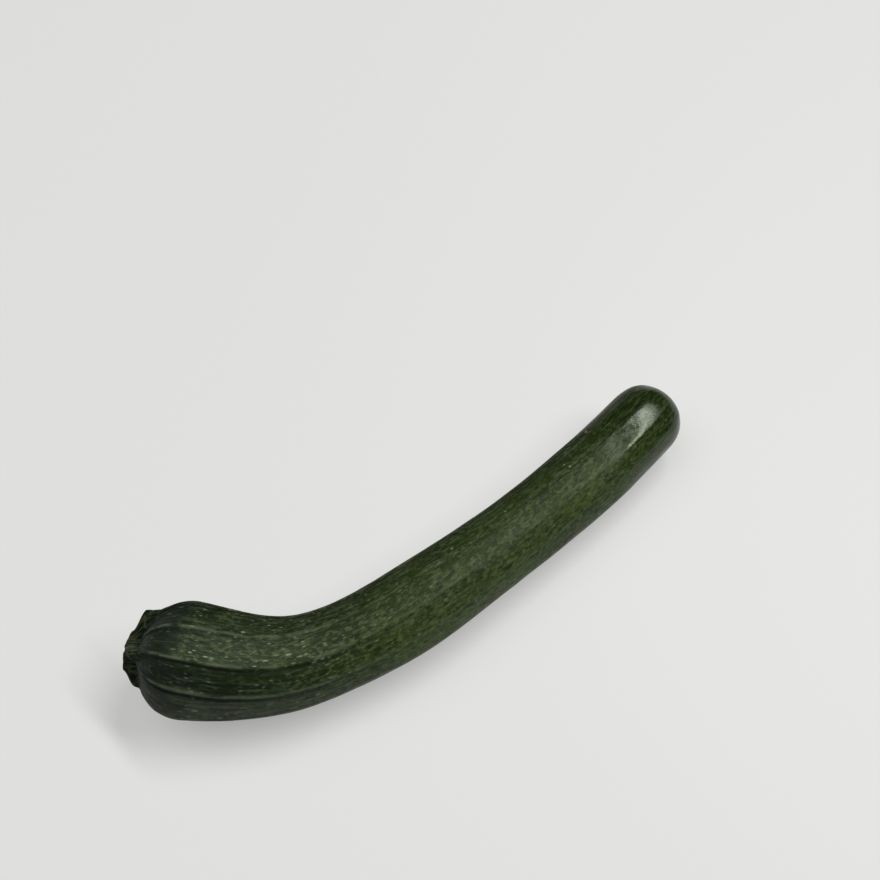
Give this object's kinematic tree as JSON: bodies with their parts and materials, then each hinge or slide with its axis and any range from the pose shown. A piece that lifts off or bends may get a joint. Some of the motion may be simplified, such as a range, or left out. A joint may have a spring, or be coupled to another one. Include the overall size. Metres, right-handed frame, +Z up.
{
  "type": "courgette",
  "caption": "Long slender courgette, bent near its thick stem end, with shallow ribs that fade along the body, a flared ribbed stalk stub and a blunt blossom end, lying on its side",
  "frame": {"origin": "middle of the footprint, on the surface that the courgette lies on", "axes": "+X runs from the cut stalk to the blossom end, along the longest extent; +Z is up; the middle of the bend bows out towards -Y"},
  "size_m": [0.2756, 0.0742, 0.048],
  "materials": {
    "courgette_skin": "semi-gloss waxy dark green skin with small pale flecks"
  },
  "bodies": {
    "root": {"courgette": "courgette_skin"}
  },
  "joints": []
}
